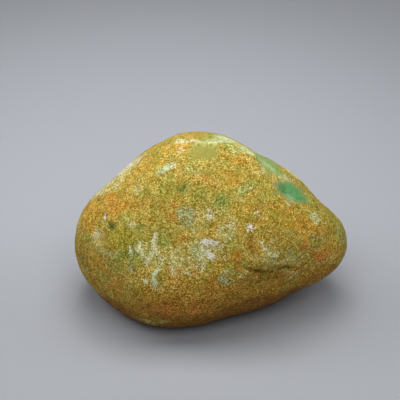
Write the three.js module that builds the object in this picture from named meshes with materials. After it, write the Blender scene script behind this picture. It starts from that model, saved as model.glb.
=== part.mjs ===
// Raw jadeite: one river-worn boulder of rough jade, in millimetres, +Z up, longest along X.
//
// The stone is one solid with soft facets. Each broad face that wear has left is a plane at its own distance
// from the heart, a point inside the stone. Wear rounds the planes into each other, and low swellings and a
// gentle undulation are laid on top. Below, the stone is cut by the surface it rests on, so it
// sits on one true flat. The origin is at the middle of the stone's box, at the height of that flat.

import * as THREE from 'three';
import { mergeVertices } from 'three/addons/utils/BufferGeometryUtils.js';

// ---- Driving dimensions ----

const HEART_HEIGHT = 24;        // the heart's height above the flat
const WEAR = 14;                // crispness of the worn edges between faces: low for a pebble, high for a break
const FACET_STEPS = 20;         // steps along each edge of the icosahedron that the skin is stretched over
const FLAT_CORE = 9.5;          // radius of the one large facet in the middle of the flat
const FLAT_CORE_RIM = 14.5;     // the flat's small facets are squeezed in between this radius and the core

// Broad worn faces. bearing runs in degrees from +X towards +Y, tilt in degrees above the horizon, and reach
// is the face's distance from the heart.
const FACES = [
  // the two ends
  { name: 'left end', bearing: 178, tilt: 2, reach: 50.5 },
  { name: 'left haunch', bearing: -168, tilt: -17, reach: 50 },
  { name: 'left shoulder', bearing: 165, tilt: 22, reach: 48 },
  { name: 'nose', bearing: 3, tilt: 4, reach: 54.5 },
  { name: 'under nose', bearing: -10, tilt: -15, reach: 53.5 },
  // the ridge over the top
  { name: 'left slope', bearing: 146, tilt: 42, reach: 39.6 },
  { name: 'left crown', bearing: 120, tilt: 55, reach: 42.8 },
  { name: 'crown', bearing: 90, tilt: 58, reach: 42.5 },
  { name: 'top', bearing: 0, tilt: 90, reach: 46 },
  { name: 'right slope', bearing: 45, tilt: 48, reach: 38.6 },
  { name: 'right brow', bearing: 28, tilt: 37, reach: 40.9 },
  // the front
  { name: 'face', bearing: -90, tilt: 22, reach: 35.5 },
  { name: 'brow', bearing: -94, tilt: 44, reach: 41.5 },
  { name: 'left temple', bearing: -150, tilt: 45, reach: 43.5 },
  { name: 'right temple', bearing: -40, tilt: 45, reach: 41.6 },
  { name: 'left cheek', bearing: -135, tilt: 18, reach: 46 },
  { name: 'right cheek', bearing: -46, tilt: 15, reach: 42.5 },
  { name: 'left belly', bearing: -132, tilt: -10, reach: 42.5 },
  { name: 'belly', bearing: -88, tilt: -24, reach: 36 },
  { name: 'right belly', bearing: -63, tilt: -19, reach: 33.8 },
  // the underside
  { name: 'left keel', bearing: -149, tilt: -39, reach: 42.9 },
  { name: 'left foot', bearing: -125, tilt: -55, reach: 39.3 },
  { name: 'foot', bearing: -85, tilt: -58, reach: 32 },
  { name: 'right keel', bearing: -52, tilt: -50, reach: 31.5 },
  { name: 'chin', bearing: -24, tilt: -33, reach: 46 },
  { name: 'base', bearing: 0, tilt: -90, reach: 25 },
  // the back
  { name: 'back', bearing: 90, tilt: 5, reach: 39 },
  { name: 'back left', bearing: 137, tilt: 0, reach: 44 },
  { name: 'back right', bearing: 45, tilt: -5, reach: 44 },
  { name: 'back foot', bearing: 90, tilt: -45, reach: 32 },
  { name: 'back right foot', bearing: 25, tilt: -58, reach: 33 },
  { name: 'back left foot', bearing: 160, tilt: -56, reach: 36.5 },
];

// Low swellings and hollows. rise is their height, negative for a hollow, and spread is the angle in degrees,
// seen from the heart, at which they have sunk to about a third.
const SWELLS = [
  { name: 'crown knob', bearing: 114, tilt: 58, rise: 1.2, spread: 11 },
  { name: 'ridge dip', bearing: 16, tilt: 65, rise: -1.5, spread: 11 },
  { name: 'brow knuckle', bearing: 5, tilt: 36, rise: 0.8, spread: 10 },
  { name: 'nose tip', bearing: 2, tilt: -7, rise: 1.6, spread: 17 },
  { name: 'lip', bearing: -52, tilt: 20, rise: 0.6, spread: 9 },
  { name: 'under lip', bearing: -55, tilt: 5, rise: -0.6, spread: 9 },
  { name: 'chin hollow', bearing: -75, tilt: -45, rise: -0.8, spread: 14 },
  { name: 'left knuckle', bearing: -172, tilt: -13, rise: 1.1, spread: 13 },
  { name: 'left flat', bearing: 165, tilt: 30, rise: -0.6, spread: 10 },
  { name: 'left pit', bearing: -152, tilt: 20, rise: -0.7, spread: 6 },
  { name: 'back chip', bearing: 78, tilt: 22, rise: -1.8, spread: 15 },
  { name: 'back knuckle', bearing: 112, tilt: -12, rise: 1.2, spread: 16 },
  { name: 'back left scoop', bearing: 152, tilt: -14, rise: -1.3, spread: 13 },
];

// The gentle undulation of the skin: sine waves across the stone, each with its direction, its count of
// radians from the heart outwards, its phase and its height.
const UNDULATION = [
  { along: [0.8, 0.3, 0.5], count: 9, phase: 0.6, height: 0.25 },
  { along: [-0.4, 0.9, 0.2], count: 11, phase: 2.1, height: 0.2 },
  { along: [0.3, -0.5, 0.8], count: 13, phase: 4, height: 0.15 },
];

const DOWN = new THREE.Vector3(0, 0, -1);

// ---- Directions and profiles ----

/** The unit vector that points from the heart along a bearing and a tilt, both in degrees. */
function direction({ bearing, tilt }) {
  const b = THREE.MathUtils.degToRad(bearing);
  const t = THREE.MathUtils.degToRad(tilt);
  return new THREE.Vector3(Math.cos(t) * Math.cos(b), Math.cos(t) * Math.sin(b), Math.sin(t));
}

/** A smooth bell: 1 at offset 0, about a third at offset = halfWidth, and nothing far out. */
function bell(offset, halfWidth) {
  return Math.exp(-((offset / halfWidth) ** 2));
}

/** Distance from the heart to the skin of the bare faceted body along a unit vector. */
function facetedReach(ray) {
  let sum = 0;
  for (const face of FACES) {
    const nearness = ray.dot(face.normal) / face.reach;
    if (nearness > 0) {
      sum += nearness ** WEAR;
    }
  }
  return sum ** (-1 / WEAR);
}

/** Height of all the swellings and hollows along a unit vector. */
function swellHeight(ray) {
  let height = 0;
  for (const swell of SWELLS) {
    height += swell.rise * bell(THREE.MathUtils.radToDeg(ray.angleTo(swell.centre)), swell.spread);
  }
  return height;
}

/** Height of the undulation along a unit vector. */
function undulationHeight(ray) {
  let height = 0;
  for (const wave of UNDULATION) {
    height += wave.height * Math.sin(wave.count * ray.dot(wave.axis) + wave.phase);
  }
  return height;
}

/** Distance from the heart to the finished skin along a unit vector. */
function skinReach(ray) {
  return facetedReach(ray) + swellHeight(ray) + undulationHeight(ray);
}

// ---- Values worked out once ----

for (const face of FACES) {
  face.normal = direction(face);
}
for (const swell of SWELLS) {
  swell.centre = direction(swell);
}
for (const wave of UNDULATION) {
  wave.axis = new THREE.Vector3(...wave.along).normalize();
}

// ---- The stone ----

/** Evenly spread unit directions, as an icosphere with one small facet square to the flat. */
function raySphere() {
  const sphere = new THREE.IcosahedronGeometry(1, FACET_STEPS - 1);
  sphere.deleteAttribute('normal');
  sphere.deleteAttribute('uv');
  const facetCentre = new THREE.Vector3(1, 1, 1).normalize();
  sphere.applyQuaternion(new THREE.Quaternion().setFromUnitVectors(facetCentre, DOWN));
  return mergeVertices(sphere, 1e-5);
}

/** Slides a point of the flat outwards, so that the facet in the middle of the flat grows to full size. */
function clearFlatCore(point) {
  const radius = Math.hypot(point.x, point.y);
  if (radius < FLAT_CORE_RIM) {
    const slid = THREE.MathUtils.mapLinear(radius, 0, FLAT_CORE_RIM, FLAT_CORE, FLAT_CORE_RIM);
    point.x *= slid / radius;
    point.y *= slid / radius;
  }
}

/** The point of the stone's skin along a unit vector from the heart, stopped by the flat at z = 0. */
function skinPoint(ray) {
  const reachToFlat = ray.z < 0 ? HEART_HEIGHT / -ray.z : Infinity;
  const reach = skinReach(ray);
  const point = ray.clone().multiplyScalar(Math.min(reach, reachToFlat));
  point.z += HEART_HEIGHT;
  if (reach >= reachToFlat) {
    point.z = 0;
    clearFlatCore(point);
  }
  return point;
}

/** The whole stone, with its origin moved to the middle of its box at the height of the flat. */
function stoneGeometry() {
  const geometry = raySphere();
  const position = geometry.attributes.position;
  const ray = new THREE.Vector3();
  for (let i = 0; i < position.count; i += 1) {
    const point = skinPoint(ray.fromBufferAttribute(position, i).normalize());
    position.setXYZ(i, point.x, point.y, point.z);
  }
  geometry.computeBoundingBox();
  const middle = geometry.boundingBox.getCenter(new THREE.Vector3());
  geometry.translate(-middle.x, -middle.y, 0);
  geometry.computeVertexNormals();
  return geometry;
}

const rind = new THREE.MeshStandardMaterial({ color: 0xa8925a, roughness: 0.8, metalness: 0 });
const stone = new THREE.Mesh(stoneGeometry(), rind);
stone.name = 'jadeite_stone';

const part = new THREE.Group();
part.add(stone);

export default part;
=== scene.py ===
import math

import bmesh
import bpy
import numpy as np
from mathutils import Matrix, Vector, noise


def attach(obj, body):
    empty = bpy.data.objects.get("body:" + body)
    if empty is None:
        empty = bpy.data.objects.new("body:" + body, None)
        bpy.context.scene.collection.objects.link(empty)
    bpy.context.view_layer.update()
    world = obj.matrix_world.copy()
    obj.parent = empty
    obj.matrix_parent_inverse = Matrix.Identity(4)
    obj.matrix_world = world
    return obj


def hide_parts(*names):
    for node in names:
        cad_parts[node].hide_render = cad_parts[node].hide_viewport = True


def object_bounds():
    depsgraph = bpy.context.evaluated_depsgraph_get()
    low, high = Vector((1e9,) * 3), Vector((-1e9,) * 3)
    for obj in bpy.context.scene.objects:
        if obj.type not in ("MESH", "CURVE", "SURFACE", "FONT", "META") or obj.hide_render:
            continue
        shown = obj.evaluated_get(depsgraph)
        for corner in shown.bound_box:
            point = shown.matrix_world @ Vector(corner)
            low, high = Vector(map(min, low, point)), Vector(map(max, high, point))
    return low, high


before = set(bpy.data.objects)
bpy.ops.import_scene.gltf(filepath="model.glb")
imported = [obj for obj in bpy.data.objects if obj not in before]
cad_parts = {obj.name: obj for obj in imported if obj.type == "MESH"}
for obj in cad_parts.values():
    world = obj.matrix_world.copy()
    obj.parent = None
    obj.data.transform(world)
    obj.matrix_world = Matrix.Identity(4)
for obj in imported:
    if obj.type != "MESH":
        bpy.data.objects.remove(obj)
CAD_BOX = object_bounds()

# A hand-sized boulder of raw jadeite: a sandy ochre rind with rust, cream and grey-green stains, worn
# through to smooth green and olive windows. Places on its skin are given as a bearing round the
# stone's heart (0 at the nose, -90 at the front, 180 at the left end) and a tilt above the heart's level,
# in degrees. Lengths on the skin are in millimetres.

MM = 0.001
NODE = "jadeite_stone"
RIND = "jadeite_rind"
HEART = Vector((-2.2, -1.2, 24.0))      # a point in the middle of the stone, in mm

# ---- Camera ----

CAMERA_ELEVATION = math.radians(32)     # how steeply the camera looks down on the heart
CAMERA_DISTANCE = 0.62                  # from the heart, in metres
CAMERA_PITCH = math.radians(30.6)       # the optical axis passes a little above the stone
CAMERA_YAW = math.radians(0.2)
SENSOR_WIDTH = 36
LENS = 151


def make_camera():
    data = bpy.data.cameras.new("camera")
    data.sensor_width = SENSOR_WIDTH
    data.lens = LENS
    camera = bpy.data.objects.new("camera", data)
    bpy.context.scene.collection.objects.link(camera)
    back = Vector((0, -math.cos(CAMERA_ELEVATION), math.sin(CAMERA_ELEVATION)))
    camera.location = HEART * MM + CAMERA_DISTANCE * back
    camera.rotation_euler = (math.pi / 2 - CAMERA_PITCH, 0, CAMERA_YAW)
    bpy.context.scene.camera = camera


make_camera()

# ---- Fields over the skin ----

SWELL_SHIFT = Vector((7.3, 15.1, 21.7))     # each seed looks the noise up this much further on
POCK_SHIFT = Vector((3.7, 11.9, 5.3))
POCK_RADIUS = 0.3                           # as a share of the distance between pits
POCK_LOTTERY = 31.7                         # spreads neighbouring pits apart before their lots are drawn
EDGE_WANDER = ((0.8, 2.6, 0), (1.3, 5.5, 3))   # layers that push the edges of patches about
STROKE_WANDER = 0.8                         # how much of that a stroke takes part in
STROKE_END = 0.45                           # how wide a stroke's ends are, as a share of its middle


def ease(low, high, values):
    """0 at low, 1 at high and a smooth rise between them."""
    t = np.clip((values - low) / (high - low), 0, 1)
    return t * t * (3 - 2 * t)


def swells(points, size, seed):
    """A smooth random field from about -1 to 1, with swells about size mm apart."""
    shift = SWELL_SHIFT * seed
    return np.array([noise.noise(Vector(p) / size + shift) for p in points])


def layered(points, layers, seed=0):
    """The sum of several such fields, one for each (height, size, seed) in layers."""
    return sum(height * swells(points, size, seed + own_seed) for height, size, own_seed in layers)


def pock_marks(points, size, share, seed):
    """1 at the middle of scattered round pits about size mm apart, of which only a share are there."""
    shift = POCK_SHIFT * seed
    depth = np.zeros(len(points))
    for i, p in enumerate(points):
        distances, centres = noise.voronoi(Vector(p) / size + shift)
        if noise.cell(centres[0] * POCK_LOTTERY) * 0.5 + 0.5 < share:
            depth[i] = max(0, 1 - distances[0] / POCK_RADIUS)
    return ease(0, 1, depth)


def toward(bearing, tilt):
    """The unit vector from the heart along a bearing and a tilt."""
    b = math.radians(bearing)
    t = math.radians(tilt)
    return np.array((math.cos(t) * math.cos(b), math.cos(t) * math.sin(b), math.sin(t)))


class Skin:
    """The stone's vertices as arrays in mm, with the patches and lines that are laid over them."""

    def __init__(self, mesh):
        count = len(mesh.vertices)
        points = np.empty(count * 3)
        normals = np.empty(count * 3)
        mesh.vertices.foreach_get("co", points)
        mesh.vertex_normals.foreach_get("vector", normals)
        self.points = points.reshape(-1, 3) / MM
        self.normals = normals.reshape(-1, 3)
        rays = self.points - np.array(HEART)
        self.directions = rays / np.linalg.norm(rays, axis=1)[:, None]
        self.tilts = np.degrees(np.arcsin(self.directions[:, 2]))
        # The edges of patches wander, because a point's place is looked up a little to one side of it.
        self.shake = np.stack([layered(self.points, EDGE_WANDER, seed) for seed in (1, 2, 3)], axis=1)

    def nearest(self, bearing, tilt):
        i = int(np.argmax(self.directions @ toward(bearing, tilt)))
        return self.points[i], self.normals[i]

    def patch(self, bearing, tilt, length, width, turn, strength=1.0, edge=0.55, wander=1.0):
        """An oval stain: its strength inside, easing to 0 across its rim. Turn is from level."""
        centre, up = self.nearest(bearing, tilt)
        level = np.cross((0, 0, 1), toward(bearing, 0))
        level -= up * (level @ up)
        level /= np.linalg.norm(level)
        turn = math.radians(turn)
        along = level * math.cos(turn) + np.cross(up, level) * math.sin(turn)
        across = np.cross(up, along)
        offset = self.points + self.shake * wander - centre
        reach = np.sqrt((offset @ along / length * 2) ** 2 + (offset @ across / width * 2) ** 2
                        + (offset @ up / length) ** 2)
        return strength * ease(1 + edge, 1 - edge, reach)

    def patches(self, rows, **settings):
        """Several stains laid together: at each vertex, the strongest of them."""
        return np.maximum.reduce([self.patch(*row, **settings) for row in rows])

    def line(self, route, wander=0.4):
        """Each vertex's distance to a line over the skin, in mm, and how far along it that is, 0 to 1."""
        here = self.points + wander * self.shake
        stops = [self.nearest(*place)[0] for place in route]
        lengths = [np.linalg.norm(b - a) for a, b in zip(stops, stops[1:])]
        best = np.full(len(self.points), np.inf)
        share = np.zeros(len(self.points))
        for k, (a, b) in enumerate(zip(stops, stops[1:])):
            t = np.clip((here - a) @ (b - a) / lengths[k] ** 2, 0, 1)
            gap = np.linalg.norm(here - a - t[:, None] * (b - a), axis=1)
            nearer = gap < best
            best[nearer] = gap[nearer]
            share[nearer] = (sum(lengths[:k]) + t[nearer] * lengths[k]) / sum(lengths)
        return best, np.clip(share, 0, 1)

    def stroke(self, width, strength, route):
        """A stain that runs along a line over the skin, thinner towards both ends."""
        gap, share = self.line(route, STROKE_WANDER)
        taper = STROKE_END + (1 - STROKE_END) * np.sin(math.pi * share)
        return strength * ease(1.6, 0.4, gap / (width / 2 * taper))


# ---- Where the stone's markings lie ----
# Each is an oval: (bearing, tilt, length, width, turn, strength). A row may go on with how soft the oval's
# rim is and how far its edge wanders.

# Where the skin is worn flat and smooth.
WINDOWS = {
    "emerald": (-19.2, 40.2, 16, 7.8, -62, 1),
    "pale green": (-8, 58.3, 13.5, 12.5, -70, 1),
    "olive": (-93, 76, 12, 6.5, 5, 1),
}

# What shows in the windows and round them.
WINDOW_STAINS = {
    "jade": [                                # bare green stone
        (-19.4, 40.4, 14.8, 6.9, -62, 1, 0.6, 0.9),
        (-8, 58.3, 12.5, 11.5, -70, 1, 0.5, 1),
    ],
    "mint": [                                # where that green is a pale one
        (-8, 58.5, 16, 15, -70, 1, 0.4),
    ],
    "deep": [                                # darker clouds in the green
        (-25.5, 44.5, 6, 5, -60, 1, 0.8),
        (-8, 51, 6, 5, -75, 0.9, 0.8),
    ],
    "milk": [                                # milky clouds in the green
        (-26, 42.5, 4, 3, 0, 0.6, 0.8),
        (-23.5, 39, 5.5, 3, -60, 1, 0.8),
        (-15, 57.5, 7, 2.8, -72, 1, 0.8),
    ],
    "rim": [                                 # greyer rind round the emerald window
        (-19, 40.3, 18, 10.5, -62, 1, 0.6),
        (-13, 49.5, 7, 5, -75, 0.6),
    ],
    "olive": [
        (-93, 76, 13, 7, 5, 0.9, 0.8, 1.6),
    ],
}

# The rind's stains. Each list runs from the left end round the front to the nose and the back. The order
# of the pigments sets the seeds of their scattered stains.
STAINS = {
    "amber": [                               # broad golden-orange tints
        (-168, 2, 14, 10, 0, 0.4),
        (-166, 21, 18, 12, 25, 1),           # left end
        (-165, 60, 14, 8, 40, 0.5),          # left slope
        (-165, 46, 8, 5, 60, 0.6),
        (-158, 57, 12, 8, 30, 0.6),
        (-157, 69, 8, 5, -20, 0.6),
        (-151, 3, 8, 7, 0, 0.5),
        (-150, 76, 10, 5, -10, 0.7),
        (-150, 5, 18, 8, -20, 0.7),
        (-150, -8, 22, 10, 0, 0.5),
        (-147, 37, 14, 7, 40, 0.6),
        (-147, 29, 8, 5, 0, 0.5),
        (-143, -5, 12, 8, 0, 0.7),
        (-140, 66, 6, 5, 0, 0.6),
        (-140, 1, 14, 8, 0, 0.6),
        (-135, -3, 16, 12, 0, 0.5),
        (-125, -14, 18, 9, 0, 0.7),
        (-116.5, 23, 3, 3, 0, 0.8),
        (-113, 60, 6, 6, 0, 0.4),
        (-112, 50, 4, 7, 0, 0.7),
        (-109, 10, 8, 8, 0, 0.8),
        (-108, -10, 18, 9, 0, 0.6),
        (-103, 33, 4, 6, 0, 0.7),
        (-97, 63.5, 5, 4, 0, 0.5),
        (-95, 15, 6, 5, 0, 0.6),
        (-94, 22, 6, 12, 0, 0.45),
        (-93, 36.5, 8, 2.5, 0, 0.4),
        (-83, 36.5, 6, 5, 0, 0.7),
        (-82, 16.5, 7, 4, 0, 0.6),
        (-80, 66, 8, 5, 0, 0.3),
        (-80, 38, 5, 5, 0, 0.5),
        (-73, 36, 8, 14, 0, 0.35),
        (-70, 4, 16, 7, -10, 0.4),
        (-69, 63, 8, 6, -20, 0.5),
        (-64, 60, 8, 10, 0, 0.6),
        (-64, 46, 8, 6, 0, 0.4),
        (-63, 1, 9, 5, -15, 0.6),
        (-61, 2, 8, 6, 0, 0.4),
        (-59, 44, 6, 5, 0, 0.6),
        (-46, 37, 9, 6, 0, 0.6),
        (-43, 42, 12, 6, -20, 0.4),
        (-42, 35, 12, 7, -20, 0.4),
        (-40, 61, 12, 7, -30, 0.4),
        (-38, 68, 10, 6, -20, 0.8),          # right of the crown
        (-36, 12, 8, 8, 0, 0.35),
        (-31, 34, 7, 5, -30, 0.7),
        (-28, 24, 14, 9, -50, 0.9),          # right cheek
        (-22, 31, 5, 6, 0, 0.5),
        (-22, 16, 6, 5, 0, 0.6),
        (-20, 20, 7, 6, -60, 0.8),
        (-16, 5, 14, 8, -20, 0.7),
        (-9, 4, 9, 9, 0, 0.4),
    ],
    "moss": [                                # broad green tints
        (-158, 12, 7, 8, 0, 0.5),
        (-140, 45, 9, 6, 0, 0.4),
        (-136, 68, 7, 4, 0, 0.5),
        (-132, 20, 16, 12, 0, 0.6),
        (-130, 44, 16, 8, 15, 0.25),
        (-128, 30, 12, 6, 10, 0.5),
        (-118, 54, 10, 5, 0, 0.3),
        (-115, 28, 8, 7, 80, 0.7),
        (-107, 58, 5, 7, 0, 0.5),
        (-106, 60, 6, 4, 0, 0.6),
        (-101, 67, 7, 3, 0, 0.5),
        (-100, 42, 12, 10, 0, 0.3),
        (-100, 30, 10, 7, 0, 0.5),
        (-96, 40, 5, 5, 0, 0.5),
        (-93, 57, 8, 6, 0, 0.5),
        (-90, 41, 7, 9, 0, 0.35),
        (-89, 66, 10, 8, 0, 0.35),
        (-80, 50, 14, 5, -10, 0.5),
        (-75, 71, 10, 3, 0, 0.6),
        (-72, 76, 9, 5, 0, 0.8),
        (-72, 31, 8, 8, 0, 0.5),
        (-68, 55, 10, 5, 0, 0.6),
        (-62, 48, 6, 5, 0, 0.35),
        (-60, 84, 12, 6, 0, 0.9),
        (-57, 54, 7, 5, 0, 0.8),
        (-50, 80, 8, 5, 0, 0.9),
        (-46, 55, 7, 5, -40, 0.6),
        (-46, 46, 6, 5, 0, 0.5),
        (-40, 76, 9, 6, -50, 0.8),
        (-38, 13, 9, 7, -50, 0.4),
        (-35, 44, 5, 4, 0, 0.7),
        (-13, 50, 8, 5, -70, 0.6),
        (-10, 28, 12, 5, -70, 0.5),
        (-8, 14, 10, 6, -70, 0.6),           # shaded edge of the nose
        (-6, 4, 14, 10, -80, 0.5),           # the shaded tip
        (20, 84, 14, 10, 0, 1),              # behind the olive window
    ],
    "umber_and_shade": [                               # broad brown tints, and painted shade under the crease
        (-160, 3, 8, 10, 0, 0.4),
        (-152, -2, 12, 10, 0, 0.4),
        (-151, 36, 14, 10, 20, 0.35),
        (-151, 30, 9, 6, 0, 0.4),
        (-150, -8, 14, 8, 0, 0.4),
        (-140, 41, 10, 6, 20, 0.6),
        (-128, 67, 10, 6, 0, 0.25),
        (-128, 47, 12, 6, 10, 0.4),
        (-118, 12, 2, 5, 0, 0.6),
        (-111, 14, 2.5, 9, 0, 0.5),
        (-105, -2, 20, 9, 0, 0.5),
        (-105, -9, 18, 8, 0, 0.4),
        (-95, -12, 20, 12, 0, 0.8),
        (-75, -10, 16, 8, 0, 0.5),
        (-70, 20, 4, 9, 0, 0.5),
        (-67, 6, 6, 6, 0, 0.5),
        (-62, 5, 10, 5, -15, 0.6),
        (-60, 27, 5, 9, 0, 0.85),
        (-54, 33, 8, 12, 0, 0.55),
        (-54, 6, 16, 5, -22, 1),             # painted shade under the crease
        (-49, 43, 9, 6, 0, 0.45),
        (-49, 27, 8, 12, 0, 0.6),
        (-47, 9, 12, 4, -22, 0.4),
        (-34, 33, 20, 16, 0, 0.3),
        (-25, 26, 9, 7, 0, 0.5),
        (-25, 12, 8, 4, -30, 0.4),
        (-23, 6, 8, 5, -30, 0.6),
    ],
    "dust_and_sheen": [                                # broad pale bloom, and painted sheen along the two upper edges
        (177, 33, 16, 10, 80, 0.8),          # pale bloom and painted sheen: the pale rim of the upper left edge
        (178, 50, 14, 9, 70, 0.8),
        (-174, 12, 12, 8, 80, 0.4),
        (-172, 40, 14, 8, 70, 0.7),
        (-155, 48, 10, 5, 50, 0.3),
        (-150, 15, 10, 8, -30, 0.35),
        (-122, 22, 11, 8, 10, 0.35),
        (-122, -24, 14, 6, 0, 0.5),
        (-113, 8, 18, 9, 0, 0.3),
        (-104, 20, 18, 10, 0, 0.6),
        (-99, 35, 8, 6, 0, 0.3),
        (-99, 13, 10, 6, 0, 0.3),
        (-95, 66, 6, 4, 0, 0.3),
        (-92, 26, 13, 9, 0, 0.5),
        (-91, 46, 9, 8, 0, 0.45),
        (-78, 45, 12, 5, 0, 0.35),
        (-76, 36, 8, 6, 0, 0.5),
        (-76, 7, 9, 6, 0, 0.3),
        (-73, 63, 8, 5, 0, 0.35),
        (-55, 16, 14, 4, -25, 0.5),
        (-52, 22, 8, 6, 0, 0.35),
        (-50, 74, 12, 4, -30, 0.4),
        (-40, 61, 12, 7, -30, 0.3),
        (-40, 11, 12, 5, -25, 0.6),
        (-36, 0, 8, 4, -20, 0.35),
        (-33, 12, 7, 6, 0, 0.55),
        (-31, 9, 9, 9, 0, 0.4),
        (-30, 66, 6, 3, -60, 0.6),
        (-20, 2, 9, 6, 0, 0.5),
        (-6, 4, 12, 9, 0, 0.35),
        (9, 40, 16, 9, -80, 0.8),            # pale bloom and painted sheen: the pale rim of the upper right edge
        (12, 72, 14, 12, 0, 0.7),
        (12, 27, 14, 7, -70, 0.6),
        (28, 64, 13, 9, -60, 0.7),
    ],
    "rust": [                                # red-brown patches
        (-170, -2, 12, 8, 0, 0.6),
        (-163, 27, 8, 5, 45, 0.35),
        (-161, 34, 9, 7, 20, 0.8),           # left shoulder
        (-151, 33, 8, 5, 30, 0.4),
        (-151, 3, 8, 7, 0, 0.3),
        (-148, 39, 8, 4, 45, 0.65),
        (-140, -5, 10, 7, 0, 0.35),
        (-127, 39, 3, 2.5, 0, 0.35),
        (-114, 42, 5, 3, 20, 0.9),
        (-113, 49, 4, 2.5, -60, 0.7),        # the streak left of the grey square
        (-109, 9, 6, 5, 0, 0.45),
        (-105, 33, 5, 4, 0, 0.65),
        (-104, 14, 5, 4, 0, 0.35),
        (-103, -11, 24, 9, 0, 0.65),
        (-95, 15, 4, 3.5, 0, 0.35),
        (-87, 63, 7, 5, 0, 0.45),
        (-70.5, 20, 4, 9, 5, 0.5),
        (-68, 9, 8, 9, 0, 0.3),
        (-64, 61, 12, 8, 0, 0.3),
        (-38, 68, 7, 4, -20, 0.35),
        (-32, 15, 4, 5, -60, 0.9),
        (-28, 25, 7, 5, -40, 0.2),
        (-27, 8, 8, 4, -10, 0.7),
        (-22.5, 6.2, 10, 6, -30, 1),         # the red patch on the right cheek
        (-22, 17, 5, 4, 0, 0.6),
        (-21, 12, 5, 10, 0, 0.6),
        (-12, 35, 5, 1.5, -80, 0.5),         # beside the emerald window
    ],
    "leaf": [                                # dark green specks, and painted shade in one hollow
        (-147, 27, 5, 3.5, 0, 0.8),
        (-146, 30.5, 3, 1.5, 0, 0.4),
        (-134, 17, 3.5, 2.5, 0, 0.7),
        (-130, 33, 3, 2, 0, 0.5),
        (-126, 55, 3.5, 2.5, 0, 0.4),
        (-111, 57, 4, 3, 0, 0.7),
        (-87, 28.5, 2.6, 2, -60, 0.7),       # painted shade: the dark of the hollow in the central white patch, as a dark green speck
        (-77, 52, 5.5, 2.5, 10, 0.9),
        (-26, 17, 3, 1.5, 20, 0.5),
        (-23, 14.5, 2.5, 1.2, 20, 0.4),
    ],
    "grey": [                                # grey-green patches
        (-177, 36, 14, 6, 80, 0.45),
        (-142, 15, 5, 3, 0, 0.6),
        (-128, 12, 2.5, 5, 0, 0.7),
        (-103.5, 44, 7, 7, 0, 0.9),          # the grey square
        (-95, 25, 6, 6, 0, 0.6),
        (-79, 8, 4.5, 4.5, 0, 0.8),
        (-75, 10, 7, 5, 0, 0.3),
        (-39.5, 15, 5, 5, -70, 0.4),
    ],
    "honey": [                               # deep yellow-olive patches
        (-159, 27, 10, 8, 0, 0.4),
        (-158, 24, 8, 6, 0, 0.5),
        (-141, 26, 6, 4, 20, 0.6),
        (-139, 24.5, 12, 5, 0, 0.9),
        (-138, 20.5, 7, 6, 0, 1),
        (-136, 26, 8, 5, 10, 1),
        (-136, -8, 16, 10, 0, 0.4),
        (-133, 21, 7, 5, 0, 0.6),
        (-127, 40, 9, 6, 0, 0.4),
        (-122, -20, 14, 8, 0, 0.4),
        (-120, 51, 18, 5, 5, 0.45),
        (-118, 44, 14, 9, 0, 0.35),
        (-101.5, 24, 3, 4, 0, 0.6),
        (-64, 0, 20, 8, -10, 0.4),
        (-54, 6, 6, 3, 10, 0.5),
        (-46, 8, 12, 5, -20, 0.4),
        (-42, 30, 12, 9, -30, 0.25),
        (-33, -8, 14, 8, 0, 0.5),
        (-28, 8, 20, 10, -20, 0.3),
        (-20, 8, 12, 10, 0, 0.35),
        (-6, 12, 10, 8, -80, 0.8),
        (-2, 16, 8, 6, 0, 0.8),
    ],
    "sage": [                                # green-tinged cream
        (-146, 47, 4, 3.5, -10, 0.8),
        (-137, 33, 5, 4, 0, 0.5),
        (-129.5, 50, 4, 3, 0, 0.5),
        (-123, 22, 8, 6, 0, 0.5),            # within the pale fork
        (-108, 67, 3, 3, 0, 0.5),
        (-90, 27, 8, 8, 0, 0.8),             # round the central white patch
        (-76, 34, 6, 4.5, 0, 0.5),
        (-76, 14, 4, 3, 0, 0.6),
        (-60, 83, 16, 6, 0, 0.9),
        (-56, 54, 5, 3, -10, 0.5),
        (-48.5, 25.5, 3.5, 3.5, 0, 0.7),
        (-30, 75, 9, 5, -60, 0.45),
        (-18, 24, 6, 5, -60, 0.8),
        (-12, 47, 9, 5, -70, 0.9),           # between the green windows
        (-8, 8, 12, 5, -80, 0.5),
    ],
    "frost": [                               # bluish or greenish white
        (-137, 17, 3, 2, -20, 0.7),
        (-132, 63, 6.5, 3, 50, 1),           # the cyan fleck
        (-90, 27, 5, 4, 0, 0.6),
        (-87.5, 46.5, 2.5, 2.5, 0, 0.6),
        (-79, 8, 3, 3, 0, 0.6),
        (-25, 42, 3, 1.5, -60, 0.6),
        (-20, 70, 5, 3, -60, 0.5),
        (-14, 67.5, 4, 3.5, 0, 1),
        (-10, 80, 6, 3.5, 0, 0.9),
        (-10, 70, 7, 5, -60, 0.8),
        (14, 73, 8, 6, -60, 0.8),
        (20, 79, 11, 7, 0, 1),
        (45, 74, 8, 6, -60, 0.7),
    ],
    "pale": [                                # cream
        (176, 24, 6, 4, 80, 0.6),            # pale bloom and painted sheen along the upper left edge
        (178, 45, 10, 4, 80, 0.75),
        (-179, 43, 26, 8, 80, 0.4),
        (-179, 36, 8, 5, 70, 0.6),
        (-178, 29, 6, 4, 60, 0.75),
        (-175, 31, 10, 6, 70, 0.55),
        (-169, 41, 7, 3.5, 70, 0.45),
        (-165, 78, 7, 3, 0, 0.8),            # the crown
        (-154, 18.5, 3.5, 4.5, 0, 0.8),
        (-138, 74, 4, 2.5, -60, 0.7),
        (-137, 31, 3, 2.5, 0, 0.5),
        (-130, 83, 4, 2.5, 0, 0.9),
        (-121, 7.5, 3, 2.4, 0, 0.6),
        (-117, 19, 4, 2.5, 0, 0.45),
        (-101, 12, 2, 1.6, 0, 0.7),
        (-92, 17.5, 3.5, 3, 0, 0.55),
        (-91.5, 27, 1.8, 1.8, 0, 0.8),
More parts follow.
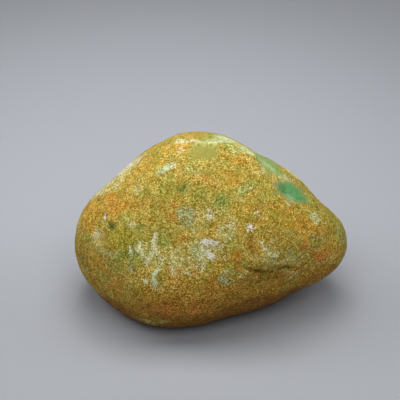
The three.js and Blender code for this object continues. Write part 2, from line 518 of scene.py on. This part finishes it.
        (-91.5, 23.5, 2.4, 1.6, 0, 0.8),
        (-82, 29, 5, 3, 0, 0.55),
        (-79, 38.5, 2.5, 1.6, 0, 0.6),
        (-79, 36.3, 2, 1.4, 0, 0.6),
        (-72.5, 38.5, 3, 2, 0, 0.6),
        (-69.5, 10.5, 2, 2, 0, 0.6),
        (-60, 34.5, 3.5, 3, 0, 0.3),
        (-52.5, 40, 2.5, 2, 0, 0.6),
        (-49, 53, 1.2, 3, 0, 0.95),
        (-27, 38, 5, 1.4, -65, 0.45),
        (-24, 58, 5, 1.6, 75, 0.55),
        (-24, 16, 2.5, 1.6, -40, 0.5),
        (-20, 13.5, 2.4, 1.4, -50, 0.6),
        (-17, 24, 5, 3.5, -60, 0.6),
        (-12, 45, 7, 2.5, -65, 0.6),
        (2, 24, 4, 3, -75, 0.7),             # pale bloom and painted sheen along the upper right edge
        (3, 38, 5, 4, -60, 0.5),
        (4, 46, 7, 3, -75, 0.75),
        (6, 41, 18, 7, -80, 0.55),
    ],
    "snow": [                                # the few nearly white spots
        (178, 44, 24, 5, 80, 0.45),          # pale bloom and painted sheen on the upper left edge
        (-153, 28, 2.4, 2, 30, 0.9),
        (-144, 80, 3, 2, 0, 0.8),
        (-88, 27, 1.4, 1.4, 0, 0.7),
        (-86, 25, 3.2, 2.4, 0, 1),
        (-60.3, 35.5, 2.6, 2.4, 0, 0.8, 0.6, 0.3),
        (9, 42, 14, 4, -80, 0.4),            # pale bloom and painted sheen on the upper right edge
    ],
    "brick": [                               # the reddest places within the rust
        (-114, 42, 4, 2.5, 20, 0.4),
        (-103, -10, 22, 8, 0, 0.4),
        (-70, 19, 3, 7, 5, 0.2),
        (-31, 15, 4, 4, -60, 0.2),
        (-22.5, 5, 8, 4.5, -40, 0.6),
    ],
}

# Thin stains that follow a line: (width, strength, places along the line).
STREAKS = {
    "pale": [
        # the pale fork: its left arm, its right arm and its stem
        (3.0, 0.85, [(-128, 26), (-126.5, 22), (-124.5, 19)]),
        (3.2, 0.9, [(-122, 31), (-120, 26), (-119.2, 22.5), (-121, 18)]),
        (1.8, 1, [(-122.5, 18.3), (-121.5, 16.5), (-122, 14)]),
        # thin streaks to the right of the fork and over the middle of the front
        (1.6, 0.9, [(-113.5, 20), (-115, 18.5), (-117.5, 17.2)]),
        (1.5, 0.85, [(-109.5, 22), (-109, 17), (-109, 13.5), (-108.5, 11)]),
        (1.6, 0.7, [(-129, 14), (-128, 12), (-128, 9.5)]),
        (1.4, 0.75, [(-106, 20.5), (-102, 21)]),
        (1.4, 0.6, [(-115, 7.5), (-113.5, 5)]),
        (1.4, 0.6, [(-91, 41.5), (-91, 38)]),
        (1.4, 0.6, [(-82, 48.5), (-80.5, 45)]),
        (1.2, 0.6, [(-79, 22), (-76.5, 25)]),
        # over the crease
        (1.9, 0.75, [(-56.2, 26.8), (-54.5, 24.5), (-53, 21), (-51, 18.5)]),
        (1.8, 0.8, [(-53, 19), (-48.5, 19), (-45.5, 17.2)]),
        (2.8, 0.8, [(-53.5, 21), (-51.5, 18.6), (-50, 17.8)]),
        # left of the pit
        (1.3, 0.7, [(-155, 25), (-151, 25), (-148, 24)]),
    ],
    "frost": [
        (2.0, 0.85, [(-132, 22), (-130, 18), (-130.5, 15)]),
        (2.4, 0.75, [(-125, 19), (-122.5, 18.5), (-120.5, 20)]),
        (2.0, 1, [(-115.3, 14.5), (-116.5, 11), (-117, 8), (-117, 5)]),
        # over the crown and down its right
        (2.8, 0.75, [(-115, 82), (-90, 84), (-50, 82), (-10, 78.5), (15, 75)]),
        (4.2, 0.9, [(26, 76), (34, 71), (28, 66), (20, 62)]),
    ],
    "snow": [
        (2.6, 1, [(-91, 31), (-87.5, 31.8), (-83, 31.8)]),
        (3.0, 0.38, [(-88.5, 49), (-87, 46), (-85.7, 43.3)]),
    ],
    "dust_and_sheen": [
        # pale bloom and painted sheen: the pale rims of the two upper edges
        (5.0, 0.9, [(-177, 26), (-175, 33), (-178, 41), (-175, 50), (-179, 60)]),
        (4.0, 0.8, [(4, 47), (1, 42), (5, 36)]),
    ],
    "honey": [
        (1.8, 0.8, [(-118, 14.5), (-117.8, 11)]),
        (2.0, 0.6, [(-126, 16.5), (-125, 13)]),
    ],
    "rust": [
        (1.2, 0.7, [(-111.7, 21), (-111, 16), (-111, 12)]),
    ],
    "leaf": [
        (1.1, 0.9, [(-131.5, 23), (-129, 18.5)]),
        (1.2, 0.6, [(-127, 20), (-127, 17)]),
        (1.0, 0.6, [(-124, 30), (-122, 25)]),
    ],
}

# The back, the far ends and the underside are not known, so their stains are scattered over these
# bearings and heights (the sine of the tilt): for each pigment, how many, how long in mm and how strong.
HIDDEN_BEARINGS = (8, 178)
HIDDEN_HEIGHTS = (-0.7, 0.9)
SCATTER = {
    "amber": (9, 14, 0.7),
    "moss": (10, 11, 0.6),
    "dust_and_sheen": (8, 14, 0.45),
    "rust": (11, 6, 0.8),
    "leaf": (9, 4, 0.6),
    "grey": (5, 6, 0.7),
    "honey": (4, 7, 0.8),
    "sage": (10, 6, 0.7),
    "frost": (6, 4.5, 0.65),
    "pale": (15, 4, 0.7),
    "umber_and_shade": (6, 12, 0.6),
    "snow": (5, 2.5, 0.9),
    "brick": (4, 6, 0.5),
}

# Lines of low relief over the skin, as places along them: two grooves that overlap, and short cracks.
CREASES = [
    [(-68, 15.5), (-64, 13), (-60, 10.2), (-56.5, 8.4), (-53, 6.9), (-48.5, 5.8)],
    [(-47, 7), (-43, 7), (-40, 5.8), (-36, 4)],
]
CRACKS = [
    [(-123.5, 18.8), (-121, 16.8), (-120.2, 14.8)],
    [(-118.3, 5.5), (-118, 3), (-117, 0)],
    [(-131, 22.5), (-129, 18.5)],
    [(-127.6, 12.6), (-126.5, 10.5)],
    [(-27, 17.5), (-24, 16), (-21, 15.5)],
    [(-36, 9), (-31, 11)],
    [(-42, -5), (-39, -1.5), (-35, 1)],
    [(-38, -7), (-35, -3.5), (-31, -1)],
    [(-43, 0), (-40, 2)],
    [(-34, 2), (-30, 4)],
]

# Single places with relief of their own, as ovals.
PIT = (-146.5, 27.3, 3.6, 2.6, 15, 1, 0.6)
LIP = (-54, 16, 17, 7, -18, 1, 0.7)         # the swollen edge above the crease
NOSE_TIP = (-4, 9, 12, 11, 0, 1, 0.9)

# The stone's brown foot: clay, and under it a darker brown that is partly its own colour and partly painted
# shade. Each is absent above its first tilt and full below its second.
CLAY_TILTS = (21, -4)
EARTH_AND_SHADE_TILTS = (-3, -26)
FOOT_WANDER = (9, 9, 11)                    # a layer of (degrees, size, seed)
LEFT_END = (-20, -40)                       # x in mm, where an end begins and where it is reached
RIGHT_END = (38, 50)
LEFT_DROP = 24                              # how many degrees further down the clay sets in there
RIGHT_DROP = 16
DARK_FOOT = (-103, -9, 26, 10, 0, 1, 0.9)   # where the darker brown with its painted shade sets in further up
DARK_FOOT_LIFT = 11                         # and by how many degrees

# ---- The stone's mesh ----

FINE_STEPS = 2                                  # each step halves the edges
BROAD_SWELLS = ((0.32, 12, 1), (0.2, 6, 2))     # relief, as layers of (height, size, seed)
SANDY_SWELLS = ((0.13, 2.6, 3), (0.09, 1.3, 4))
POCK_SIZE = 3.2
POCK_SHARE = 0.35
POCK_SEED = 5
POCK_DEPTH = 0.22
WINDOW_DEPTH = 0.25
WINDOW_WEAR = 0.6                               # how much of the broad swells is worn off a window
CREASE_WIDTH = 0.7
CREASE_DEPTH = 1.5
CREASE_UNEVEN = (0.4, 2.2, 8)                   # a layer that its depth varies by, round 0.95
CREASE_BLUNTNESS = 0.35                         # the lower, the more abruptly its ends come up
LIP_RISE = 0.8
CRACK_WIDTH = 0.5
CRACK_DEPTH = 0.35
PIT_DEPTH = 0.6
NOSE_RISE = 0.7
INSET = 0.25                                    # the skin is sunk by this much, to stay inside the CAD box
GROUND_FADE = 2.5                               # relief fades out below this height, so the flat stays flat
GROOVE_SHADE = 0.85                              # how dark the painted shade in each kind of hollow is
PIT_SHADE = 0.85
CRACK_SHADE = 0.8
POCK_SHADE = 0.5


def fine_stone():
    """The CAD stone with four times the edges each way, rounded over its flat facets."""
    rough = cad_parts[NODE].data.copy()
    rough.materials.clear()
    bm = bmesh.new()
    bm.from_mesh(rough)
    bmesh.ops.remove_doubles(bm, verts=bm.verts, dist=1e-6)
    bm.to_mesh(rough)
    bm.free()
    base = bpy.data.objects.new("rough_stone", rough)
    bpy.context.scene.collection.objects.link(base)
    divide = base.modifiers.new("divide", "SUBSURF")
    divide.levels = FINE_STEPS
    divide.render_levels = FINE_STEPS
    graph = bpy.context.evaluated_depsgraph_get()
    mesh = bpy.data.meshes.new_from_object(base.evaluated_get(graph))
    bpy.data.objects.remove(base)
    mesh.name = RIND
    mesh.polygons.foreach_set("use_smooth", [True] * len(mesh.polygons))
    stone = bpy.data.objects.new(RIND, mesh)
    bpy.context.scene.collection.objects.link(stone)
    return stone


def crease_groove(skin):
    """1 along the bottom of the two overlapping grooves, uneven and fading out at their ends."""
    uneven = 0.95 + layered(skin.points, [CREASE_UNEVEN])
    groove = np.zeros(len(skin.points))
    for route in CREASES:
        gap, share = skin.line(route)
        depth = uneven * np.sin(math.pi * share) ** CREASE_BLUNTNESS
        groove = np.maximum(groove, depth * np.exp(-(gap / CREASE_WIDTH) ** 2))
    return groove


def hairlines(skin):
    """1 along the middle of each short crack."""
    gaps = [skin.line(route)[0] for route in CRACKS]
    return np.exp(-(np.minimum.reduce(gaps) / CRACK_WIDTH) ** 2)


def shape(mesh, skin, polish):
    """Moves the vertices out and in along their normals, and returns how dark the painted shade in each
    hollow is.
    """
    rough = 1 - polish
    pocks = pock_marks(skin.points, POCK_SIZE, POCK_SHARE, POCK_SEED)
    groove = crease_groove(skin)
    cracks = hairlines(skin)
    pit = skin.patch(*PIT)
    relief = layered(skin.points, BROAD_SWELLS) * (1 - WINDOW_WEAR * polish) - WINDOW_DEPTH * polish
    relief += (layered(skin.points, SANDY_SWELLS) - POCK_DEPTH * pocks) * rough
    relief += LIP_RISE * skin.patch(*LIP) - CREASE_DEPTH * groove
    relief += NOSE_RISE * skin.patch(*NOSE_TIP) - PIT_DEPTH * pit - CRACK_DEPTH * cracks - INSET
    relief *= ease(0, GROUND_FADE, skin.points[:, 2])
    low, high = (np.array(corner) / MM for corner in CAD_BOX)
    moved = np.clip(skin.points + skin.normals * relief[:, None], low, high)
    mesh.vertices.foreach_set("co", (moved * MM).ravel())
    mesh.update()
    # how dark the painted shade is in each hollow
    hollow_shades = (GROOVE_SHADE * groove, PIT_SHADE * pit, CRACK_SHADE * cracks, POCK_SHADE * pocks * rough)
    return np.maximum.reduce(hollow_shades)


def store(mesh, name, values):
    """Keeps a field on the mesh, where the material reads it by its name."""
    layer = mesh.attributes.new(name, "FLOAT", "POINT")
    layer.data.foreach_set("value", np.clip(values, 0, 1).astype(np.float32))


def scattered(name, seed):
    """Stains for the sides that are not known, spread evenly by chance but the same each time."""
    count, length, strength = SCATTER[name]
    chance = np.random.default_rng(seed)
    for _ in range(count):
        bearing = chance.uniform(*HIDDEN_BEARINGS)
        tilt = math.degrees(math.asin(chance.uniform(*HIDDEN_HEIGHTS)))
        long = length * chance.uniform(0.6, 1.3)
        yield (bearing, tilt, long, long * chance.uniform(0.35, 0.9), chance.uniform(-90, 90),
               strength * chance.uniform(0.6, 1.2))


def mark(mesh, skin):
    """Stores how strong each stain is at every vertex."""
    for seed, (name, rows) in enumerate(STAINS.items()):
        stain = skin.patches(rows + list(scattered(name, seed)))
        for streak in STREAKS.get(name, []):
            stain = np.maximum(stain, skin.stroke(*streak))
        store(mesh, name, stain)
    for name, rows in WINDOW_STAINS.items():
        store(mesh, name, skin.patches(rows))


def mark_foot(mesh, skin):
    """Stores the brown of the stone's foot, which sets in further down at the two ends, and the darker
    brown with painted shade under it.
    """
    levels = skin.tilts + layered(skin.points, [FOOT_WANDER])
    left = ease(*LEFT_END, skin.points[:, 0])
    right = ease(*RIGHT_END, skin.points[:, 0])
    store(mesh, "clay", ease(*CLAY_TILTS, levels + LEFT_DROP * left + RIGHT_DROP * right))
    store(mesh, "earth_and_shade", ease(*EARTH_AND_SHADE_TILTS, levels - DARK_FOOT_LIFT * skin.patch(*DARK_FOOT)))


# ---- Rind material ----


def rgb(red, green, blue):
    return (red, green, blue, 1)


OCHRE = rgb(0.459, 0.303, 0.037)
OLIVE = rgb(0.353, 0.274, 0.025)
AMBER = rgb(0.54, 0.305, 0.022)
MOSS = rgb(0.29, 0.30, 0.050)
CLAY = rgb(0.405, 0.194, 0.006)
# partly the foot's own darker brown, partly painted shade towards the bottom
EARTH_AND_SHADE = rgb(0.215, 0.083, 0.001)
# also painted shade under the crease
UMBER_AND_SHADE = rgb(0.29, 0.155, 0.006)
# also painted sheen along the upper edges
DUST_AND_SHEEN = rgb(0.62, 0.52, 0.19)
HONEY = rgb(0.32, 0.25, 0.008)
RUST = rgb(0.50, 0.225, 0.018)
BRICK = rgb(0.44, 0.150, 0.012)
LEAF = rgb(0.16, 0.20, 0.022)
GREY = rgb(0.34, 0.335, 0.155)
SAGE = rgb(0.46, 0.45, 0.17)
FROST = rgb(0.70, 0.79, 0.45)
CREAM = rgb(0.82, 0.78, 0.45)
SNOW = rgb(0.88, 0.82, 0.70)
EMERALD = rgb(0.090, 0.315, 0.105)
DEEP_GREEN = rgb(0.085, 0.20, 0.055)
MILKY = rgb(0.27, 0.42, 0.19)
PALE_JADE = rgb(0.29, 0.41, 0.14)
SAP_GREEN = rgb(0.23, 0.32, 0.07)
MINT = rgb(0.41, 0.51, 0.22)
JADE_EDGE = rgb(0.24, 0.30, 0.105)
WORN_OLIVE = rgb(0.25, 0.23, 0.024)
RIM = rgb(0.30, 0.29, 0.11)
# painted shade in the crease, the pit, the cracks and the pock marks
HOLLOW_SHADE = rgb(0.10, 0.07, 0.008)

# Colours that others are multiplied by, and one that is added.
WHITE = rgb(1, 1, 1)
DARK_GRAIN = rgb(0.46, 0.42, 0.0)
BRIGHT_GRAIN = rgb(2.02, 2.16, 2.0)
WHITER = rgb(0.0, 0.08, 0.36)
BLOOM_SHADE = rgb(0.68, 0.68, 0.60)
JADE_SHADE = rgb(0.50, 0.60, 0.50)

# Faint clouds in the bare rind: (pigment, size, detail, seed, noise where they start, where they are
# full, strength).
CLOUDS = [
    (RUST, 6.5, 0, 0.57, 0.50, 0.72, 0.3),
    (MOSS, 5.5, 0, 0.83, 0.48, 0.72, 0.4),
    (DUST_AND_SHEEN, 4, 1, 0.29, 0.52, 0.72, 0.15),
]

# The stains within the rind, in the order they are laid, with their pigments.
TINTS = {
    "amber": AMBER,
    "moss": MOSS,
    "clay": CLAY,
    "earth_and_shade": EARTH_AND_SHADE,
    "umber_and_shade": UMBER_AND_SHADE,
    "dust_and_sheen": DUST_AND_SHEEN,
    "honey": HONEY,
    "rust": RUST,
    "brick": BRICK,
    "leaf": LEAF,
    "grey": GREY,
    "sage": SAGE,
}

# The blooms on the grains: the pigment, and how strong a stain has to be to cover them all.
BLOOMS = {"frost": (FROST, 1.05), "pale": (CREAM, 1.0), "snow": (SNOW, 0.75)}

FLECK_SIZE = 0.28                       # the single grains
GRIT_SIZE = 0.42                        # the finer noise over them
COARSE_SIZE = 1.5                       # clumps of a few grains
MATT_ROUGHNESS = 0.8
POLISHED_ROUGHNESS = 0.45
SPECULAR = 0.2
GRAIN_HEIGHT = 0.09 * MM
POLISHED_GRAIN = 0.05                   # how much of the grain's bump is left in a window


class Nodes:
    """Short calls for building a material's node tree."""

    def __init__(self, name):
        self.material = bpy.data.materials.new(name)
        self.material.use_nodes = True
        self.tree = self.material.node_tree
        self.shader = self.tree.nodes["Principled BSDF"]
        self.place = self.tree.nodes.new("ShaderNodeTexCoord").outputs["Object"]

    def feed(self, socket, value):
        """Links a socket to another one, or sets it to a number or a colour."""
        if isinstance(value, bpy.types.NodeSocket):
            self.tree.links.new(value, socket)
        else:
            socket.default_value = value

    def add(self, kind, inputs, **settings):
        node = self.tree.nodes.new("ShaderNode" + kind)
        for key, value in settings.items():
            setattr(node, key, value)
        for key, value in inputs.items():
            self.feed(node.inputs[key], value)
        return node

    def shade(self, **inputs):
        """Sets the shader's own sockets, whose names are given with _ for each space."""
        for key, value in inputs.items():
            self.feed(self.shader.inputs[key.replace("_", " ")], value)

    def stain(self, name):
        return self.add("Attribute", {}, attribute_name=name).outputs["Fac"]

    def swell(self, size, detail=2.0, roughness=0.5, distortion=0.0, seed=0.0):
        """Smooth noise from about -0.5 to 0.5 with swells about size mm apart."""
        return self.minus(self.noise(size, detail, roughness, distortion, seed), 0.5)

    def noise(self, size, detail=2.0, roughness=0.5, distortion=0.0, seed=0.0):
        """Smooth noise round 0.5 with swells about size mm apart."""
        shifted = self.add("VectorMath", {0: self.place, 1: (seed, seed * 2, -seed)}, operation="ADD")
        inputs = {"Vector": shifted.outputs[0], "Scale": 1 / (size * MM), "Detail": detail,
                  "Roughness": roughness, "Distortion": distortion}
        return self.add("TexNoise", inputs).outputs["Fac"]

    def cells(self, size):
        """A random value for each grain of about size mm."""
        cells = self.add("TexVoronoi", {"Vector": self.place, "Scale": 1 / (size * MM)})
        return self.add("SeparateColor", {"Color": cells.outputs["Color"]}).outputs["Red"]

    def rise(self, value, low, high, to_low=0.0, to_high=1.0, kind="SMOOTHSTEP"):
        """From to_low, where the value is low, to to_high, where it is high."""
        inputs = {"Value": value, "From Min": low, "From Max": high, "To Min": to_low, "To Max": to_high}
        return self.add("MapRange", inputs, interpolation_type=kind, clamp=True).outputs["Result"]

    def plus(self, a, b):
        return self.add("Math", {0: a, 1: b}, operation="ADD").outputs[0]

    def minus(self, a, b):
        return self.add("Math", {0: a, 1: b}, operation="SUBTRACT").outputs[0]

    def times(self, a, b):
        return self.add("Math", {0: a, 1: b}, operation="MULTIPLY").outputs[0]

    def power(self, a, b):
        return self.add("Math", {0: a, 1: b}, operation="POWER").outputs[0]

    def blend(self, share, below, above, kind="MIX"):
        """One colour laid over another by a share from 0 to 1."""
        node = self.add("Mix", {0: share, 6: below, 7: above}, data_type="RGBA", blend_type=kind)
        return node.outputs[2]


class RindNodes(Nodes):
    """The rind's node tree, with the grain and the two clouds that its stains share."""

    def __init__(self):
        super().__init__(RIND)
        self.fine = self.grain()
        self.haze = self.swell(4.5, detail=1, distortion=0.3, seed=0.31)
        self.cloud = self.swell(1.8, detail=4, roughness=0.65, distortion=0.6, seed=0.37)

    def grain(self):
        """How bright each grain is, from about -0.6 to 0.8: most are plain, and a few are much brighter."""
        fleck = self.power(self.cells(FLECK_SIZE), 2)
        grit = self.swell(GRIT_SIZE, detail=4, roughness=0.7)
        coarse = self.swell(COARSE_SIZE, detail=3, roughness=0.6, distortion=0.6, seed=0.47)
        sharp = self.plus(self.times(self.minus(fleck, 0.33), 0.62), grit)
        lively = self.rise(self.noise(3.5, distortion=0.5, seed=0.71), 0.3, 0.7, 0.75, 1.45)
        # the grains stand out more over the clay: painted shade, where light grazes the lower rind
        shaded = self.rise(self.stain("clay"), 0, 1, 1.03, 1.5)
        sharp = self.times(sharp, self.times(lively, shaded))
        return self.plus(sharp, self.times(coarse, 0.75))

    def bare(self):
        """The rind between the stains: ochre and olive, with faint clouds of other pigments."""
        share = self.rise(self.noise(8, detail=1, distortion=0.3, seed=0.11), 0.34, 0.66)
        below = self.blend(share, OCHRE, OLIVE)
        for pigment, size, detail, seed, start, full, strength in CLOUDS:
            clouds = self.noise(size, detail, distortion=0.5, seed=seed)
            below = self.blend(self.rise(clouds, start, full, 0, strength), below, pigment)
        return below

    def tinted(self, name, below, pigment):
        """A stain in the rind, under the grain, with a cloudy edge."""
        noisy = self.plus(self.stain(name), self.times(self.haze, 1.4))
        within = self.rise(self.stain(name), 0.0, 0.3)
        return self.blend(self.times(self.rise(noisy, 0.05, 1.0, 0, 0.85), within), below, pigment)

    def grained(self, below):
        """The rind with its dark and bright grains, all of about the same hue."""
        dark = self.rise(self.fine, 0.04, -0.26, 0, 1, "LINEAR")
        bright = self.rise(self.fine, 0.02, 0.50, 0, 1, "LINEAR")
        tone = self.blend(bright, self.blend(dark, WHITE, DARK_GRAIN), BRIGHT_GRAIN)
        toned = self.blend(1, below, tone, "MULTIPLY")
        green = self.add("SeparateColor", {"Color": below}).outputs["Green"]
        return self.blend(self.times(bright, green), toned, WHITER, "ADD")

    def bloomed(self, name, below, pigment, full):
        """A bloom that lies on the grains: where it is thin, fewer of them are coloured."""
        rough = self.plus(self.times(self.fine, 1.2), self.times(self.cloud, 1.5))
        covered = self.rise(self.plus(self.stain(name), rough), 0.25, full, 0, 0.95)
        within = self.rise(self.stain(name), 0.03, 0.35)
        shaded = self.blend(1, pigment, BLOOM_SHADE, "MULTIPLY")
        speckled = self.blend(self.rise(self.fine, -0.3, 0.4), shaded, pigment)
        return self.blend(self.times(covered, within), below, speckled)

    def jade(self):
        """The green of the worn windows, with deep and milky clouds and a greyer edge."""
        streaks = self.times(self.swell(1.5, detail=3, roughness=0.6, distortion=1.5, seed=0.9), 2.6)
        deep = self.rise(self.plus(self.stain("deep"), streaks), 0.2, 0.9, 0, 0.8)
        milk = self.rise(self.minus(self.stain("milk"), streaks), 0.1, 0.9, 0, 0.9)
        bright = self.blend(deep, self.blend(milk, EMERALD, MILKY), DEEP_GREEN)
        pale = self.blend(deep, self.blend(milk, PALE_JADE, MINT), SAP_GREEN)
        green = self.blend(self.rise(self.stain("mint"), 0.3, 0.8), bright, pale)
        green = self.blend(self.rise(self.stain("jade"), 0.85, 0.35, 0, 0.7), green, JADE_EDGE)
        veins = self.noise(1.3, detail=4, roughness=0.7, distortion=1.5, seed=0.77)
        return self.blend(self.rise(veins, 0.44, 0.66), green, JADE_SHADE, "MULTIPLY")

    def worn(self, below):
        """The windows, their rims and the painted shade in the hollows, laid over the rind."""
        olive = self.plus(self.stain("olive"), self.cloud)
        below = self.blend(self.rise(olive, 0.2, 0.9, 0, 0.8), below, WORN_OLIVE)
        rim = self.plus(self.stain("rim"), self.cloud)
        below = self.blend(self.rise(rim, 0.3, 1.1, 0, 0.75), below, RIM)
        green = self.plus(self.stain("jade"), self.times(self.cloud, 1.4))
        below = self.blend(self.rise(green, 0.2, 0.9, 0, 0.95), below, self.jade())
        # painted shade darkens the hollows
        return self.blend(self.rise(self.stain("hollow"), 0.15, 0.95, 0, 0.8), below, HOLLOW_SHADE)


def rind_material():
    nodes = RindNodes()
    surface = nodes.bare()
    for name, pigment in TINTS.items():
        surface = nodes.tinted(name, surface, pigment)
    surface = nodes.grained(surface)
    for name, (pigment, full) in BLOOMS.items():
        surface = nodes.bloomed(name, surface, pigment, full)
    surface = nodes.worn(surface)

    matt = nodes.minus(1, nodes.stain("polish"))
    strength = nodes.rise(matt, 0, 1, POLISHED_GRAIN, 1)
    bump = nodes.add("Bump", {"Height": nodes.fine, "Strength": strength, "Distance": GRAIN_HEIGHT})
    roughness = nodes.rise(matt, 0, 1, POLISHED_ROUGHNESS, MATT_ROUGHNESS)
    nodes.shade(Base_Color=surface, Roughness=roughness, Normal=bump.outputs[0])
    nodes.shade(Specular_IOR_Level=SPECULAR)
    return nodes.material


def make_stone():
    stone = fine_stone()
    mesh = stone.data
    skin = Skin(mesh)
    polish = skin.patches(WINDOWS.values(), edge=0.4, wander=1.2)
    hollow = shape(mesh, skin, polish)
    mark(mesh, skin)
    mark_foot(mesh, skin)
    store(mesh, "polish", polish)
    store(mesh, "hollow", hollow)
    mesh.materials.append(rind_material())
    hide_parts(NODE)
    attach(stone, "root")


make_stone()

# ---- Studio ----

FLOOR_SIZE = 6
FLOOR_COLOUR = rgb(0.347, 0.36, 0.388)
ON_STONE = (0, 0, 0.02)

# Each softbox has its name, place, aim, size and power.
SOFTBOXES = [
    ("overhead", (0, 0, 0.35), (0, 0.02, 0), (0.25, 0.25), 0.82),
    ("left", (-0.45, 0.05, 0.40), ON_STONE, (0.3, 0.4), 1.1),
    ("right", (0.45, 0.05, 0.40), ON_STONE, (0.3, 0.4), 0.68),
    ("front", (0, -0.38, 0.38), ON_STONE, (0.4, 0.3), 1.2),
    ("back", (0, 0.33, 0.30), ON_STONE, (0.4, 0.25), 0.2),
]

# Pools of light on the floor: how far out, how high, how wide in degrees, the lamp's radius and its power.
FAR_REACH = 0.8
FAR_HEIGHT = 0.75
FAR_CONE = 64
FAR_RADIUS = 0.1
FAR_POWER = 4.0
BACKDROP_LAMP = (-0.03, 0.16, 0.45)
BACKDROP_AIM = (-0.03, 0.13, 0)
BACKDROP_CONE = 46
BACKDROP_RADIUS = 0.06
BACKDROP_POWER = 2.4
SKY_COLOUR = rgb(0.9, 0.95, 1)
SKY_STRENGTH = 0.03


def make_floor():
    bpy.ops.mesh.primitive_plane_add(size=FLOOR_SIZE)
    floor = bpy.context.object
    floor.name = "floor"
    nodes = Nodes("floor")
    nodes.shade(Base_Color=FLOOR_COLOUR, Roughness=0.9, Specular_IOR_Level=0.1)
    floor.data.materials.append(nodes.material)


def hang(name, kind, place, aim, power):
    """A lamp at a place, turned to its aim."""
    data = bpy.data.lights.new(name, kind)
    data.energy = power
    lamp = bpy.data.objects.new(name, data)
    lamp.location = place
    lamp.rotation_euler = (Vector(aim) - Vector(place)).to_track_quat("-Z", "Y").to_euler()
    bpy.context.scene.collection.objects.link(lamp)
    return data


def softbox(name, place, aim, size, power):
    data = hang(name, "AREA", place, aim, power)
    data.shape = "RECTANGLE"
    data.size, data.size_y = size


def pool(name, place, aim, cone, radius, power):
    """A soft round pool of light."""
    data = hang(name, "SPOT", place, aim, power)
    data.spot_size = math.radians(cone)
    data.spot_blend = 1
    data.shadow_soft_size = radius


def make_studio():
    make_floor()
    # The floor beyond the stone is lit on all four sides, clear of the stone itself.
    for x, y in ((FAR_REACH, 0), (0, FAR_REACH), (-FAR_REACH, 0), (0, -FAR_REACH)):
        pool("far_floor", (x, y, FAR_HEIGHT), (x, y, 0), FAR_CONE, FAR_RADIUS, FAR_POWER)
    for box in SOFTBOXES:
        softbox(*box)
    pool("backdrop", BACKDROP_LAMP, BACKDROP_AIM, BACKDROP_CONE, BACKDROP_RADIUS, BACKDROP_POWER)
    world = bpy.data.worlds.new("studio")
    world.use_nodes = True
    sky = world.node_tree.nodes["Background"]
    sky.inputs["Color"].default_value = SKY_COLOUR
    sky.inputs["Strength"].default_value = SKY_STRENGTH
    bpy.context.scene.world = world
    bpy.context.scene.view_settings.view_transform = "Standard"


make_studio()
